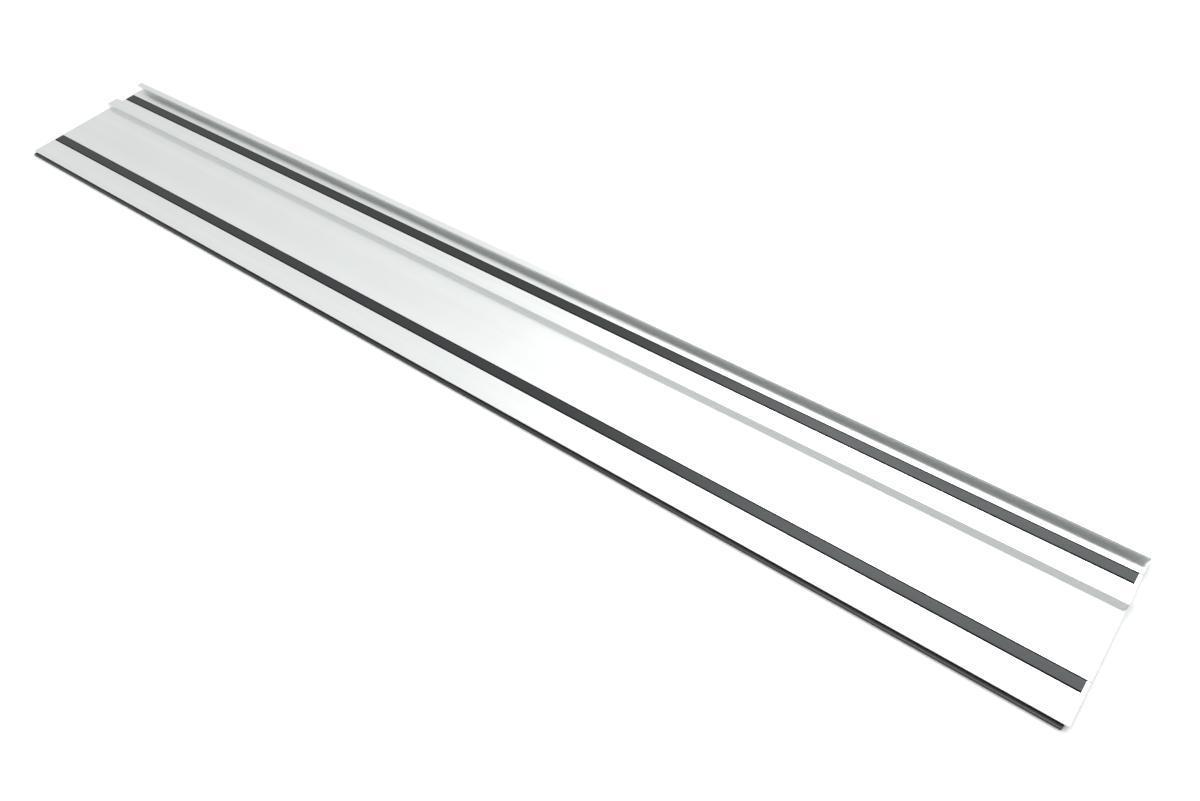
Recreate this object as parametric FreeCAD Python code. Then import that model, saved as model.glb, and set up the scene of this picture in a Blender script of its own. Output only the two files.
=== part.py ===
import FreeCAD, Part
import math
import os

# Guide rail for a plunge saw: one aluminium extrusion with the strips stuck to it.
#
# Millimetres. +X runs along the rail, -Y points to the cutting edge, +Z is up. The origin is
# the bottom centre of the whole rail, on the surface that the rail lies on.
#
# Every piece is a prism along X. Its section is drawn in two measures: depth, counted back
# from the front face of the aluminium, and height above the surface that the rail lies on.

# Rail as a whole
rail_length = 1400.0
aluminium_width = 179.5
guard_overhang = 3.5

# Plate
plate_underside = 2.7
plate_thickness = 2.5
plate_top = plate_underside + plate_thickness
nose_upper_radius = 0.5
nose_lower_radius = 1.5

# Guide rib, a hollow box that is open downwards as a T-slot
rib_depth = 120.5
rib_width = 16.0
rib_height = 6.8
rib_wall = 1.8
rib_edge_radius = 0.6
slot_mouth_width = 8.0
slot_flange_thickness = 1.8
slot_flange_underside = 1.0

# Rear upstand, with a lip that leans forward over the plate
upstand_thickness = 2.4
upstand_height = 9.0
lip_width = 8.2
lip_thickness = 2.5
upstand_outer_radius = 0.9
upstand_foot_radius = 0.5

# Low-friction strips in shallow recesses of the plate
glide_width = 12.7
glide_thickness = 1.0
front_glide_depth = 30.9
rear_glide_depth = 146.8
glide_left_gap = 1.0
glide_right_gap = 3.0
recess_depth = 0.8
recess_side_gap = 0.3

# Splinter guard, stuck under the plate along the front edge
guard_back = 9.4
guard_lip_height = 2.3
guard_edge_radius = 0.45
guard_groove_front = 0.1
guard_groove_width = 0.65
guard_groove_depth = 0.9
guard_groove_slant = 0.1
guard_left_gap = 0.5
guard_right_gap = 3.6

# Foam grip strips, each between two low ribs on the underside
grip_width = 13.0
grip_end_gap = 1.5
grip_side_gap = 0.5
seat_rib_thickness = 1.2
seat_rib_height = 1.0
front_seat_depth = 11.2
rear_seat_depth = 162.3

# Self-adhesive film under every strip
film_thickness = 0.2
film_inset = 0.4

# Small radii shared by the extrusion's corners
sharp = 0.0
soft_edge = 0.3
inner_fillet = 0.5

front_face_y = guard_overhang - (aluminium_width + guard_overhang) / 2.0
seat_width = grip_width + 2.0 * grip_side_gap
strip_top = plate_underside - film_thickness


def section_point(x, depth, height):
    return FreeCAD.Vector(x, front_face_y + depth, height)


def rounded_wire(corners, x):
    """Closed wire in the plane at x, from corners given as (depth, height, radius)."""
    points = [section_point(x, depth, height) for depth, height, _ in corners]
    count = len(points)
    edges = []
    entries = []
    leavings = []
    for index, (_, _, radius) in enumerate(corners):
        corner = points[index]
        back = (points[index - 1] - corner).normalize()
        ahead = (points[(index + 1) % count] - corner).normalize()
        if radius == sharp:
            entries.append(corner)
            leavings.append(corner)
            continue
        half_angle = back.getAngle(ahead) / 2.0
        reach = radius / math.tan(half_angle)
        inward = (back + ahead).normalize()
        middle = corner + inward * (radius / math.sin(half_angle) - radius)
        entries.append(corner + back * reach)
        leavings.append(corner + ahead * reach)
        edges.append(Part.Arc(entries[-1], middle, leavings[-1]).toShape())
    for index in range(count):
        edges.append(Part.LineSegment(leavings[index - 1], entries[index]).toShape())
    return Part.Wire(Part.__sortEdges__(edges))


def prism(corners, left_gap=0.0, right_gap=0.0):
    """Prism of a section along the rail, short of each end of the rail by its gap."""
    left_end = left_gap - rail_length / 2.0
    length = rail_length - left_gap - right_gap
    face = Part.Face(rounded_wire(corners, left_end))
    return face.extrude(FreeCAD.Vector(length, 0.0, 0.0))


def rectangle(depth, width, bottom, height, radius=sharp):
    """Corners of an upright rectangle whose front side is at depth."""
    return [
        (depth, bottom, radius),
        (depth, bottom + height, radius),
        (depth + width, bottom + height, radius),
        (depth + width, bottom, radius),
    ]


def recess_corners(strip_depth):
    """Corners of the recess in the plate's top that holds one glide strip, front to rear."""
    front = strip_depth - recess_side_gap
    rear = strip_depth + glide_width + recess_side_gap
    floor = plate_top - recess_depth
    return [
        (front, plate_top, soft_edge / 2.0),
        (front, floor, sharp),
        (rear, floor, sharp),
        (rear, plate_top, soft_edge / 2.0),
    ]


def rib_corners():
    """Corners of the guide rib's outside above the plate, front to rear."""
    rear = rib_depth + rib_width
    top = plate_top + rib_height
    return [
        (rib_depth, plate_top, inner_fillet),
        (rib_depth, top, rib_edge_radius),
        (rear, top, rib_edge_radius),
        (rear, plate_top, inner_fillet),
    ]


def upstand_corners():
    """Corners of the rear wall and its forward lip, from the plate round to the underside."""
    wall_front = aluminium_width - upstand_thickness
    lip_front = aluminium_width - lip_width
    lip_top = plate_top + upstand_height
    lip_underside = lip_top - lip_thickness
    return [
        (wall_front, plate_top, inner_fillet),
        (wall_front, lip_underside, inner_fillet),
        (lip_front, lip_underside, soft_edge),
        (lip_front, lip_top, soft_edge),
        (aluminium_width, lip_top, upstand_outer_radius),
        (aluminium_width, plate_underside, upstand_foot_radius),
    ]


def slot_corners():
    """Corners of the T-slot under the guide rib, rear to front, flanges and cavity."""
    rib_rear = rib_depth + rib_width
    cavity_front = rib_depth + rib_wall
    cavity_rear = rib_rear - rib_wall
    cavity_top = plate_top + rib_height - rib_wall
    mouth_front = rib_depth + (rib_width - slot_mouth_width) / 2.0
    mouth_rear = mouth_front + slot_mouth_width
    flange_top = slot_flange_underside + slot_flange_thickness
    return [
        (rib_rear, plate_underside, inner_fillet),
        (rib_rear, slot_flange_underside, soft_edge),
        (mouth_rear, slot_flange_underside, soft_edge),
        (mouth_rear, flange_top, soft_edge),
        (cavity_rear, flange_top, soft_edge),
        (cavity_rear, cavity_top, inner_fillet),
        (cavity_front, cavity_top, inner_fillet),
        (cavity_front, flange_top, soft_edge),
        (mouth_front, flange_top, soft_edge),
        (mouth_front, slot_flange_underside, soft_edge),
        (rib_depth, slot_flange_underside, soft_edge),
        (rib_depth, plate_underside, inner_fillet),
    ]


def seat_rib_corners(front):
    """Corners of one low rib on the plate's underside, rear to front."""
    rear = front + seat_rib_thickness
    tip = plate_underside - seat_rib_height
    return [
        (rear, plate_underside, sharp),
        (rear, tip, soft_edge),
        (front, tip, soft_edge),
        (front, plate_underside, sharp),
    ]


def seat_corners(seat_depth):
    """Corners of the two ribs that hold one grip strip between them, rear to front."""
    return seat_rib_corners(seat_depth + seat_width) + seat_rib_corners(seat_depth - seat_rib_thickness)


def rail_extrusion():
    """The aluminium section, drawn along the top from front to rear and back underneath."""
    nose = [(0.0, plate_underside, nose_lower_radius), (0.0, plate_top, nose_upper_radius)]
    top = recess_corners(front_glide_depth) + rib_corners() + recess_corners(rear_glide_depth)
    underside = seat_corners(rear_seat_depth) + slot_corners() + seat_corners(front_seat_depth)
    return prism(nose + top + upstand_corners() + underside)


def glide_film(strip_depth):
    width = glide_width - 2.0 * film_inset
    corners = rectangle(strip_depth + film_inset, width, plate_top - recess_depth, film_thickness)
    return prism(corners, glide_left_gap + film_inset, glide_right_gap + film_inset)


def glide_strip(strip_depth):
    bottom = plate_top - recess_depth + film_thickness
    left = strip_depth
    right = strip_depth + glide_width
    top = bottom + glide_thickness
    corners = [
        (left, bottom, sharp),
        (left, top, soft_edge / 2.0),
        (right, top, soft_edge / 2.0),
        (right, bottom, sharp),
    ]
    return prism(corners, glide_left_gap, glide_right_gap)


def guard_film():
    front = nose_lower_radius + film_inset
    corners = rectangle(front, guard_back - film_inset - front, strip_top, film_thickness)
    return prism(corners, guard_left_gap + film_inset, guard_right_gap + film_inset)


def splinter_guard():
    """Rubber strip: a flat back under the plate, a hinge groove under its nose, and a thinner lip."""
    groove_rear = guard_groove_front + guard_groove_width
    groove_bottom = guard_lip_height - guard_groove_depth
    corners = [
        (guard_back, 0.0, soft_edge),
        (-guard_overhang, 0.0, guard_edge_radius),
        (-guard_overhang, guard_lip_height, guard_edge_radius),
        (guard_groove_front, guard_lip_height, sharp),
        (guard_groove_front + guard_groove_slant, groove_bottom, sharp),
        (groove_rear - guard_groove_slant, groove_bottom, sharp),
        (groove_rear, guard_lip_height, sharp),
        (groove_rear + guard_edge_radius, strip_top, sharp),
        (guard_back, strip_top, sharp),
    ]
    return prism(corners, guard_left_gap, guard_right_gap)


def grip_film(seat_depth):
    front = seat_depth + grip_side_gap + film_inset
    corners = rectangle(front, grip_width - 2.0 * film_inset, strip_top, film_thickness)
    return prism(corners, grip_end_gap + film_inset, grip_end_gap + film_inset)


def grip_strip(seat_depth):
    corners = rectangle(seat_depth + grip_side_gap, grip_width, 0.0, strip_top, soft_edge)
    return prism(corners, grip_end_gap, grip_end_gap)


def main():
    pieces = {
        "rail_extrusion": rail_extrusion(),
        "front_glide_strip": glide_strip(front_glide_depth),
        "rear_glide_strip": glide_strip(rear_glide_depth),
        "front_glide_adhesive": glide_film(front_glide_depth),
        "rear_glide_adhesive": glide_film(rear_glide_depth),
        "splinter_guard": splinter_guard(),
        "splinter_guard_adhesive": guard_film(),
        "front_grip_strip": grip_strip(front_seat_depth),
        "rear_grip_strip": grip_strip(rear_seat_depth),
        "front_grip_adhesive": grip_film(front_seat_depth),
        "rear_grip_adhesive": grip_film(rear_seat_depth),
    }
    os.makedirs("parts", exist_ok=True)
    for name, shape in pieces.items():
        if not shape.isValid():
            raise ValueError(name + " is not a valid solid")
        shape.exportStep("parts/" + name + ".step")
        print(name, "volume", round(shape.Volume), "mm3")


main()
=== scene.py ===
import math

import bmesh
import bpy
from mathutils import Euler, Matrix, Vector, noise


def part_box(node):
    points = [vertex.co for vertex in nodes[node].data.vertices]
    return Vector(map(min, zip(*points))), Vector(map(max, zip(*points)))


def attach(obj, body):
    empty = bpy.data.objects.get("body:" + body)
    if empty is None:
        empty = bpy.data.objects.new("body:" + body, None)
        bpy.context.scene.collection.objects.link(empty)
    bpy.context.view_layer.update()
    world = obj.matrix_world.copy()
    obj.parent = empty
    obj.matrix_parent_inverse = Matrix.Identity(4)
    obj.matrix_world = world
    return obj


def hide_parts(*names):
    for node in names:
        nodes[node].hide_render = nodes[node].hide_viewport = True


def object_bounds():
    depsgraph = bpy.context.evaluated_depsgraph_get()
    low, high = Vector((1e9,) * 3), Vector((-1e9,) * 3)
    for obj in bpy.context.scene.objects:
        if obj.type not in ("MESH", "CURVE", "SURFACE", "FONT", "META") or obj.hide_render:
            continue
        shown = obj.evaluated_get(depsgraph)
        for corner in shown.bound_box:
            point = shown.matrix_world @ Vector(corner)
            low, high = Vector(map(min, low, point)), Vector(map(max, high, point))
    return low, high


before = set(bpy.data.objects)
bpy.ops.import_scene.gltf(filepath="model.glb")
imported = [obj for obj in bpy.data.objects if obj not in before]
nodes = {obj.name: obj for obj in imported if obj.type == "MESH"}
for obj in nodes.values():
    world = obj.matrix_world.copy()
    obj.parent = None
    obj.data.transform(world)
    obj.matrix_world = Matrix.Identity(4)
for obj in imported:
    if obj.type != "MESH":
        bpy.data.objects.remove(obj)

# Guide rail for a plunge saw, seen from its near right end on a white studio floor. Metres, in
# the frame of the CAD model: +X along the rail, -Y to the splinter guard, +Z up.

MM = 0.001

# Camera, above the near right end
CAMERA_PLACE = (0.6647, -0.5262, 0.7553)
CAMERA_TURN = (41.862, 4.150, 37.337)
CAMERA_LENS = 30.81
SENSOR_WIDTH = 36.0

# Brightness of the surroundings, behind the rail and in front of it, and how much each rises
REAR_LIGHT = 0.765
REAR_RISE = 0.32
FRONT_LIGHT = 0.715
FRONT_RISE = 0.36

# Brighter places in the surroundings
GLOW_DIRECTION = (0.55, 0.35, 0.75)
RIGHT_GLOW = 0.8
HORIZON_GLOW = 0.26

# Dimmer places, as a share of the brightness there
CAMERA_SHADE = 0.72
OVERHEAD_SHADE = 0.38

# Where each of these changes starts and ends, for a unit vector that points into the
# surroundings: by its Z for the heights, by its Y for BEHIND_RAIL, and by the cosine of its
# angle to the middle of the glow or shade for the cones
REAR_HEIGHTS = (0.42, 0.80)
FRONT_HEIGHTS = (0.46, 0.74)
BEHIND_RAIL = (-0.2, 0.2)
GLOW_CONE = (0.84, 0.96)
HORIZON_HEIGHTS = (0.0, 0.2)
CAMERA_CONE = (0.95, 0.995)
OVERHEAD_HEIGHTS = (0.89, 0.985)

SKY_COLOUR = (0.982, 1.0, 0.998, 1.0)

# Softbox behind the rail, and the floor
SOFTBOX_PLACE = (0.45, 1.55, 2.0)
SOFTBOX_TARGET = (0.45, 1.3, 0.0)
SOFTBOX_WIDTH = 2.2
SOFTBOX_DEPTH = 1.1
SOFTBOX_RADIANCE = 4.0
FLOOR_RADIUS = 60.0
FLOOR_GAP = 0.05 * MM

# Axis of the saw blade that cut the rail's ends
BLADE_CENTRE = (0.0, -0.06, 0.13)

# Most of a noise texture's values lie between these
NOISE_SPAN = (0.3, 0.7)

cad_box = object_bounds()
rail_low, rail_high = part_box("rail_extrusion")


# ---------------------------------------------------------------- node helpers

class Graph:
    """Short calls that build a node tree. A value is a number, a vector or a node's output."""

    def __init__(self, tree):
        self.tree = tree

    def new(self, kind):
        return self.tree.nodes.new(kind)

    def put(self, socket, value):
        if isinstance(value, bpy.types.NodeSocket):
            self.tree.links.new(value, socket)
        else:
            socket.default_value = value

    def math(self, operation, *values):
        node = self.new("ShaderNodeMath")
        node.operation = operation
        for socket, value in zip(node.inputs, values):
            self.put(socket, value)
        return node.outputs[0]

    def vector_math(self, operation, first, second, output):
        node = self.new("ShaderNodeVectorMath")
        node.operation = operation
        self.put(node.inputs[0], first)
        self.put(node.inputs[1], second)
        return node.outputs[output]

    def axis(self, vector, name):
        node = self.new("ShaderNodeSeparateXYZ")
        self.put(node.inputs[0], vector)
        return node.outputs[name]

    def ramp(self, value, low, high, to_low=0.0, to_high=1.0, smooth=False):
        """value between low and high, mapped to to_low and to_high and held outside them."""
        node = self.new("ShaderNodeMapRange")
        node.interpolation_type = "SMOOTHSTEP" if smooth else "LINEAR"
        self.put(node.inputs["Value"], value)
        node.inputs["From Min"].default_value = low
        node.inputs["From Max"].default_value = high
        node.inputs["To Min"].default_value = to_low
        node.inputs["To Max"].default_value = to_high
        return node.outputs["Result"]


class Finish(Graph):
    """A material with one Principled shader, whose textures lie in the rail's own coordinates."""

    def __init__(self, name):
        self.material = bpy.data.materials.new(name)
        self.material.use_nodes = True
        super().__init__(self.material.node_tree)
        self.shader = self.tree.nodes["Principled BSDF"]
        self.place = self.new("ShaderNodeTexCoord").outputs["Object"]

    def set(self, name, value):
        self.put(self.shader.inputs[name], value)

    def scaled(self, x, y, z, source=None):
        """Coordinates times the number of texture cells per metre along each axis."""
        return self.vector_math("MULTIPLY", source or self.place, (x, y, z), "Vector")

    def noise(self, vector, detail=2.0, roughness=0.5):
        node = self.new("ShaderNodeTexNoise")
        self.put(node.inputs["Vector"], vector)
        node.inputs["Scale"].default_value = 1.0
        node.inputs["Detail"].default_value = detail
        node.inputs["Roughness"].default_value = roughness
        return node.outputs["Fac"]

    def cells(self, per_metre):
        """Distance to the middle of the nearest cell."""
        node = self.new("ShaderNodeTexVoronoi")
        self.put(node.inputs["Vector"], self.place)
        node.inputs["Scale"].default_value = per_metre
        return node.outputs["Distance"]

    def mix(self, factor, first, second):
        node = self.new("ShaderNodeMix")
        node.data_type = "RGBA"
        self.put(node.inputs["Factor"], factor)
        for name, colour in (("A", first), ("B", second)):
            linked = isinstance(colour, bpy.types.NodeSocket)
            self.put(node.inputs[name], colour if linked else (*colour, 1.0))
        return node.outputs["Result"]

    def true_normal(self):
        return self.new("ShaderNodeNewGeometry").outputs["True Normal"]

    def bump(self, height, distance, strength=1.0, under=None):
        node = self.new("ShaderNodeBump")
        self.put(node.inputs["Height"], height)
        node.inputs["Distance"].default_value = distance
        node.inputs["Strength"].default_value = strength
        if under is not None:
            self.put(node.inputs["Normal"], under)
        return node.outputs["Normal"]


# ---------------------------------------------------------------- materials

def anodised_aluminium():
    """Natural anodised extrusion: fine die lines along the rail and saw marks on its cut ends."""
    finish = Finish("anodised_aluminium")
    die_lines = finish.noise(finish.scaled(1.2, 1400.0, 1400.0), 3.0, 0.6)
    broad_bands = finish.noise(finish.scaled(0.5, 90.0, 90.0), 2.0)
    grain = finish.noise(finish.scaled(4200.0, 5200.0, 5200.0), 1.0)
    smudges = finish.noise(finish.scaled(14.0, 22.0, 22.0), 4.0, 0.55)
    facing_along = finish.math("ABSOLUTE", finish.axis(finish.true_normal(), "X"))
    end_cut = finish.ramp(facing_along, 0.6, 0.9)
    from_blade = finish.vector_math("DISTANCE", finish.scaled(0.0, 1.0, 1.0), BLADE_CENTRE, "Value")
    saw_marks = finish.noise(finish.scaled(1600.0, 0.0, 0.0, from_blade), 3.0, 0.7)
    bands = finish.ramp(broad_bands, *NOISE_SPAN, 0.0, 0.6)
    streaks = finish.math("ADD", bands, finish.ramp(die_lines, *NOISE_SPAN, 0.0, 0.4))
    anodised = finish.mix(streaks, (0.790, 0.805, 0.798), (0.852, 0.863, 0.858))
    sawn = finish.mix(finish.ramp(saw_marks, *NOISE_SPAN), (0.56, 0.56, 0.565), (0.74, 0.74, 0.745))
    # Dark band along the last 0.9 mm at each end of the rail: painted reflection of a deburred edge
    # that the mesh doesn't have
    from_middle = finish.math("ABSOLUTE", finish.axis(finish.place, "X"))
    rim_start = rail_high.x - 0.9 * MM
    rim_full = rail_high.x - 0.3 * MM
    rim_painted_reflection = finish.ramp(from_middle, rim_start, rim_full, 0.0, 0.6)
    anodised = finish.mix(rim_painted_reflection, anodised, (0.42, 0.42, 0.425))
    finish.set("Base Color", finish.mix(end_cut, anodised, sawn))
    finish.set("Metallic", 1.0)
    satin = finish.ramp(smudges, 0.35, 0.7, 0.33, 0.39)
    line_roughness = finish.ramp(die_lines, *NOISE_SPAN, -0.02, 0.03)
    finish.set("Roughness", finish.math("ADD", satin, line_roughness))
    fine = finish.bump(grain, 0.004 * MM, 0.6)
    lines = finish.bump(die_lines, 0.012 * MM, 0.7, fine)
    cut_height = finish.math("MULTIPLY", saw_marks, end_cut)
    finish.set("Normal", finish.bump(cut_height, 0.06 * MM, 0.8, lines))
    return finish.material


def glide_plastic():
    finish = Finish("glide_plastic")
    grain = finish.noise(finish.scaled(60.0, 2600.0, 2600.0), 3.0, 0.6)
    pores = finish.noise(finish.scaled(2600.0, 3000.0, 3000.0), 2.0)
    patches = finish.noise(finish.scaled(9.0, 40.0, 40.0), 3.0)
    finish.set("Base Color", finish.mix(grain, (0.004, 0.0045, 0.005), (0.009, 0.010, 0.011)))
    finish.set("Roughness", finish.ramp(patches, *NOISE_SPAN, 0.30, 0.37))
    finish.set("Specular Tint", (0.93, 0.98, 1.0, 1.0))
    streaks = finish.bump(grain, 0.015 * MM, 0.6)
    finish.set("Normal", finish.bump(pores, 0.01 * MM, 0.5, streaks))
    return finish.material


def dull_edge_and_groove_shade():
    """The strips' cut edges, dull where their tops are satin; on the splinter guard also painted
    shade in the groove.
    """
    finish = Finish("dull_edge_and_groove_shade")
    grain = finish.noise(finish.scaled(300.0, 1500.0, 1500.0), 3.0)
    finish.set("Base Color", finish.mix(grain, (0.005, 0.005, 0.0055), (0.010, 0.010, 0.011)))
    finish.set("Roughness", 0.75)
    finish.set("Specular IOR Level", 0.15)
    finish.set("Normal", finish.bump(grain, 0.03 * MM, 0.6))
    return finish.material


def guard_rubber():
    finish = Finish("guard_rubber")
    grain = finish.noise(finish.scaled(90.0, 2200.0, 2200.0), 3.0, 0.6)
    bloom = finish.noise(finish.scaled(30.0, 160.0, 160.0), 4.0)
    finish.set("Base Color", finish.mix(bloom, (0.008, 0.008, 0.0085), (0.017, 0.017, 0.0175)))
    finish.set("Roughness", finish.ramp(bloom, *NOISE_SPAN, 0.32, 0.42))
    finish.set("Specular IOR Level", 0.62)
    finish.set("Normal", finish.bump(grain, 0.02 * MM, 0.7))
    return finish.material


def grip_foam():
    finish = Finish("grip_foam")
    dust = finish.noise(finish.scaled(60.0, 200.0, 200.0), 4.0)
    finish.set("Base Color", finish.mix(dust, (0.030, 0.031, 0.033), (0.060, 0.060, 0.061)))
    finish.set("Roughness", 0.9)
    finish.set("Normal", finish.bump(finish.cells(1500.0), 0.25 * MM, 0.9))
    return finish.material


def adhesive_film():
    finish = Finish("adhesive_film")
    fibres = finish.noise(finish.scaled(500.0, 700.0, 700.0), 3.0)
    finish.set("Base Color", finish.mix(fibres, (0.62, 0.58, 0.48), (0.75, 0.72, 0.62)))
    finish.set("Roughness", 0.55)
    finish.set("Normal", finish.bump(fibres, 0.03 * MM, 0.5))
    return finish.material


def floor_paper():
    finish = Finish("floor_paper")
    fibres = finish.noise(finish.scaled(400.0, 400.0, 400.0), 2.0)
    finish.set("Base Color", (0.92, 0.92, 0.915, 1.0))
    finish.set("Roughness", 0.7)
    finish.set("Normal", finish.bump(fibres, 0.02 * MM, 0.3))
    return finish.material


def repaint(node_names, material):
    for name in node_names:
        mesh = nodes[name].data
        mesh.materials.clear()
        mesh.materials.append(material)


# ---------------------------------------------------------------- pieces

def mesh_object(name, build, *materials):
    """Object from a bmesh that build fills, smooth apart from its sharp edges."""
    mesh = bpy.data.meshes.new(name)
    work = bmesh.new()
    build(work)
    bmesh.ops.recalc_face_normals(work, faces=work.faces)
    work.to_mesh(mesh)
    work.free()
    mesh.shade_smooth()
    mesh.set_sharp_from_angle(angle=math.radians(40.0))
    for material in materials:
        mesh.materials.append(material)
    piece = bpy.data.objects.new(name, mesh)
    piece.modifiers.new("weighted_normals", "WEIGHTED_NORMAL").keep_sharp = True
    bpy.context.scene.collection.objects.link(piece)
    return piece


def lofted(name, stations, outline_at, materials, main_sides=None):
    """Closed strip through the outlines at the stations, which are places along X.

    With main_sides, only those sides get the first material; the others and the ends get the
    second one.
    """

    def build(work):
        rings = [[work.verts.new((x, y, z)) for y, z in outline_at(x)] for x in stations]
        count = len(rings[0])
        for ring, following in zip(rings, rings[1:]):
            for index in range(count):
                after = (index + 1) % count
                face = work.faces.new((ring[index], ring[after], following[after], following[index]))
                face.material_index = 0 if main_sides is None or index in main_sides else 1
        for ring in (rings[0], rings[-1]):
            work.faces.new(ring).material_index = 0 if main_sides is None else 1

    return mesh_object(name, build, *materials)


def even_stations(low, high, count):
    return [low + (high - low) * index / count for index in range(count + 1)]


def waver(x, per_metre, row, layer):
    """Smooth noise from -1 to 1 along the rail; row and layer choose which stretch of it."""
    return noise.noise(Vector((x * per_metre, row, layer)))


def arc(centre_y, centre_z, reach_y, reach_z, first_degrees, step_degrees, steps):
    """Points on an elliptical arc, the first angle included."""
    points = []
    for step in range(steps + 1):
        angle = math.radians(first_degrees + step_degrees * step)
        points.append((centre_y + reach_y * math.cos(angle), centre_z + reach_z * math.sin(angle)))
    return points


def foam_strip(node, name, foam):
    """Foam grip strip with round edges and a slightly uneven width."""
    low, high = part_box(node)
    half_width = (high.y - low.y) / 2
    height = high.z - low.z
    middle = (low.y + high.y) / 2
    corner = 0.7 * MM
    unevenness = 0.012
    section = []
    for side, centre_z, first_degrees in (
        (1, height - corner, 0.0),
        (-1, height - corner, 90.0),
        (-1, corner, 180.0),
        (1, corner, 270.0),
    ):
        section += arc(side * (half_width - corner), centre_z, corner, corner, first_degrees, 18.0, 5)

    def outline_at(x):
        squeeze = 1.0 - unevenness - unevenness * waver(x, 35.0, middle * 90.0, 1.0)
        return [(middle + y * squeeze, low.z + z) for y, z in section]

    piece = lofted(name, even_stations(low.x, high.x, 240), outline_at, [foam])
    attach(piece, "root")
    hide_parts(node)


def glide_strip(node, name, plastic, cut_edge_and_groove_shade):
    """Low-friction strip: a flat satin top between rolled, dull edges."""
    low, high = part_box(node)
    edge_width = 1.2 * MM
    edge_drop = 0.38 * MM
    play = 0.03 * MM
    top_side = 5

    def outline_at(x):
        top = high.z - play * (0.5 + 0.5 * waver(x, 11.0, low.y * 60.0, 4.0))
        edge_z = top - edge_drop
        bottom = [(low.y, low.z), (high.y, low.z)]
        rear_edge = arc(high.y - edge_width, edge_z, edge_width, edge_drop, 0.0, 30.0, 3)
        front_edge = arc(low.y + edge_width, edge_z, edge_width, edge_drop, 90.0, 30.0, 3)
        return bottom + rear_edge + front_edge

    stations = even_stations(low.x, high.x, 160)
    piece = lofted(name, stations, outline_at, [plastic, cut_edge_and_groove_shade], (top_side,))
    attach(piece, "root")
    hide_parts(node)


def splinter_guard(node, name, rubber, cut_edge_and_groove_shade):
    """Rubber edge strip: flat back, narrow hinge groove, lip with a round edge and end corners."""
    low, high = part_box(node)
    groove_rear = rail_low.y + 0.75 * MM
    groove_front = rail_low.y + 0.1 * MM
    groove_slant = 0.1 * MM
    groove_depth = 0.9 * MM
    lip_height = 2.3 * MM
    edge_radius = 0.45 * MM
    end_radius = 1.6 * MM
    # The sides after these, from the groove's floor round to the back, and the ends take the darker
    # edge finish: painted shade in the groove
    sides_up_to_groove = range(11)
    curve = [end_radius * (1.0 - math.cos(math.radians(15.0 * step))) for step in range(6)]
    stations = [low.x + reach for reach in curve]
    stations += even_stations(low.x + end_radius, high.x - end_radius, 200)
    stations += [high.x - reach for reach in reversed(curve)]

    def outline_at(x):
        reach = min(x - low.x, high.x - x)
        inset = 0.0
        if reach < end_radius:
            inset = end_radius - math.sqrt(end_radius ** 2 - (end_radius - reach) ** 2)
        play = 0.06 * MM * (0.5 + 0.5 * waver(x, 9.0, 2.0, 7.0))
        round_y = low.y + inset + play + edge_radius
        top = low.z + lip_height - play
        outline = [(high.y, low.z), (round_y, low.z)]
        outline += arc(round_y, low.z + edge_radius, edge_radius, edge_radius, 270.0, -30.0, 3)
        outline += arc(round_y, top - edge_radius, edge_radius, edge_radius, 180.0, -30.0, 3)
        outline += [
            (groove_front, top),
            (groove_front + groove_slant, top - groove_depth),
            (groove_rear - groove_slant, top - groove_depth),
            (groove_rear, top),
            (groove_rear + edge_radius, high.z),
            (high.y, high.z),
        ]
        return outline

    piece = lofted(name, stations, outline_at, [rubber, cut_edge_and_groove_shade], sides_up_to_groove)
    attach(piece, "root")
    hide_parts(node)


# ---------------------------------------------------------------- studio

def floor(material):
    """Round floor, so wide that its edge lies at the horizon from any side."""

    def build(work):
        bmesh.ops.create_circle(work, cap_ends=True, segments=128, radius=FLOOR_RADIUS)
        bmesh.ops.translate(work, verts=work.verts, vec=(0.0, 0.0, cad_box[0].z - FLOOR_GAP))

    mesh_object("studio_floor", build, material)


def softbox():
    lamp = bpy.data.lights.new("rear_softbox", "AREA")
    lamp.shape = "RECTANGLE"
    lamp.size = SOFTBOX_WIDTH
    lamp.size_y = SOFTBOX_DEPTH
    lamp.energy = SOFTBOX_RADIANCE * math.pi * SOFTBOX_WIDTH * SOFTBOX_DEPTH
    lamp_object = bpy.data.objects.new("rear_softbox", lamp)
    lamp_object.location = SOFTBOX_PLACE
    facing = Vector(SOFTBOX_TARGET) - Vector(SOFTBOX_PLACE)
    lamp_object.rotation_euler = facing.to_track_quat("-Z", "Y").to_euler()
    bpy.context.scene.collection.objects.link(lamp_object)


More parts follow.
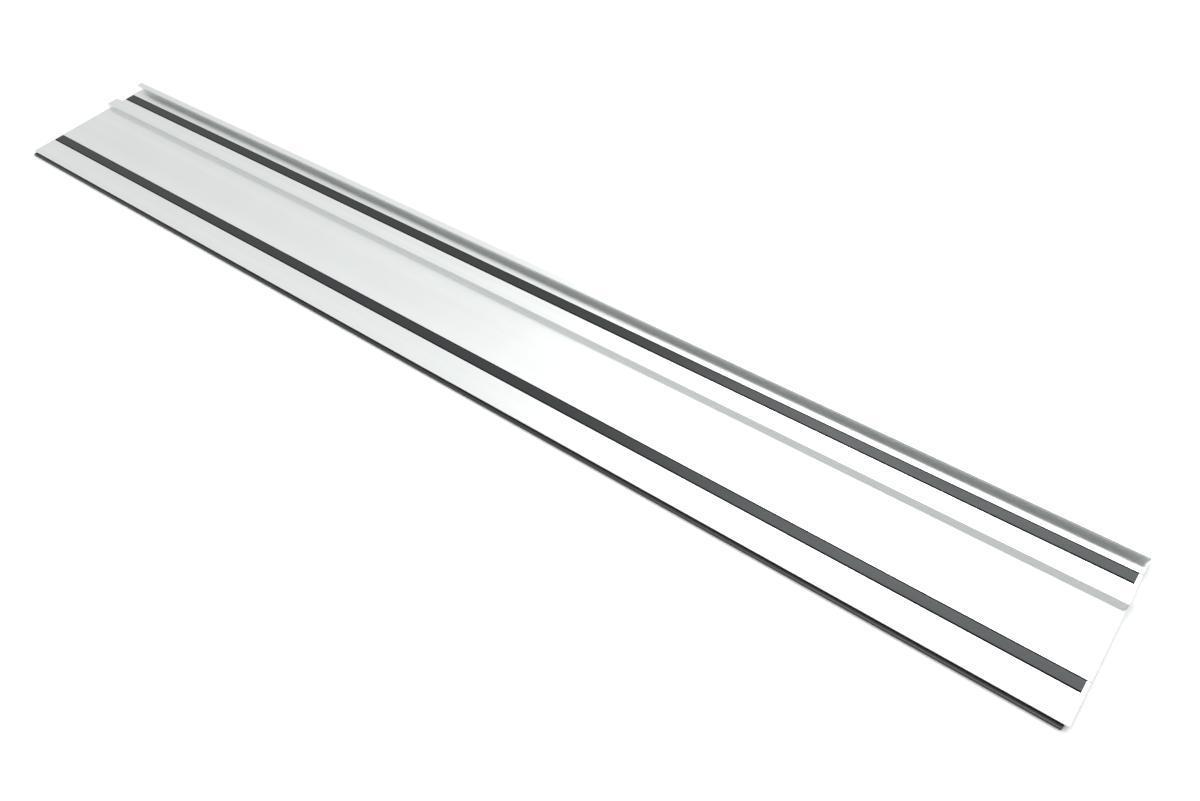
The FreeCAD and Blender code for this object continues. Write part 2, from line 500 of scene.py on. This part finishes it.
def studio_world():
    """White surroundings, brighter with height, at the horizon and over the rail's right end.

    They are dim overhead and round the place where the camera stands in the main view.
    """
    world = bpy.data.worlds.new("studio")
    world.use_nodes = True
    sky = Graph(world.node_tree)
    direction = sky.new("ShaderNodeTexCoord").outputs["Generated"]
    height = sky.axis(direction, "Z")
    near_end = Vector((rail_high.x, 0.0, rail_high.z))

    def toward(target):
        return sky.vector_math("DOT_PRODUCT", direction, Vector(target).normalized(), "Value")

    rear = sky.ramp(height, *REAR_HEIGHTS, REAR_LIGHT, REAR_LIGHT + REAR_RISE, smooth=True)
    front = sky.ramp(height, *FRONT_HEIGHTS, FRONT_LIGHT, FRONT_LIGHT + FRONT_RISE, smooth=True)
    behind = sky.ramp(sky.axis(direction, "Y"), *BEHIND_RAIL, smooth=True)
    level = sky.math("MULTIPLY_ADD", sky.math("SUBTRACT", rear, front), behind, front)
    toward_camera = toward(Vector(CAMERA_PLACE) - near_end)
    camera_side = sky.ramp(toward_camera, *CAMERA_CONE, 1.0, CAMERA_SHADE, smooth=True)
    overhead = sky.ramp(height, *OVERHEAD_HEIGHTS, 1.0, OVERHEAD_SHADE, smooth=True)
    shade = sky.math("MULTIPLY", camera_side, overhead)
    glow = sky.ramp(toward(GLOW_DIRECTION), *GLOW_CONE, 0.0, RIGHT_GLOW, smooth=True)
    horizon = sky.ramp(height, *HORIZON_HEIGHTS, HORIZON_GLOW, 0.0, smooth=True)
    strength = sky.math("MULTIPLY_ADD", level, shade, sky.math("ADD", glow, horizon))

    background = world.node_tree.nodes["Background"]
    background.inputs["Color"].default_value = SKY_COLOUR
    sky.put(background.inputs["Strength"], strength)
    bpy.context.scene.world = world


def camera():
    lens_data = bpy.data.cameras.new("camera")
    lens_data.sensor_width = SENSOR_WIDTH
    lens_data.lens = CAMERA_LENS
    lens_data.clip_end = 2.0 * FLOOR_RADIUS
    camera_object = bpy.data.objects.new("camera", lens_data)
    camera_object.location = CAMERA_PLACE
    camera_object.rotation_euler = Euler([math.radians(turn) for turn in CAMERA_TURN], "XYZ")
    bpy.context.scene.collection.objects.link(camera_object)
    bpy.context.scene.camera = camera_object


def main():
    repaint(["rail_extrusion"], anodised_aluminium())
    repaint([name for name in nodes if name.endswith("_adhesive")], adhesive_film())
    plastic = glide_plastic()
    # Darker, duller finish for cut edges, which also paints the shade in the guard's groove
    cut_edge_and_groove_shade = dull_edge_and_groove_shade()
    foam = grip_foam()
    glide_strip("front_glide_strip", "front_glide_tape", plastic, cut_edge_and_groove_shade)
    glide_strip("rear_glide_strip", "rear_glide_tape", plastic, cut_edge_and_groove_shade)
    splinter_guard("splinter_guard", "splinter_guard_strip", guard_rubber(), cut_edge_and_groove_shade)
    foam_strip("front_grip_strip", "front_grip_foam", foam)
    foam_strip("rear_grip_strip", "rear_grip_foam", foam)
    floor(floor_paper())
    studio_world()
    softbox()
    camera()
    bpy.context.scene.view_settings.view_transform = "Standard"


main()
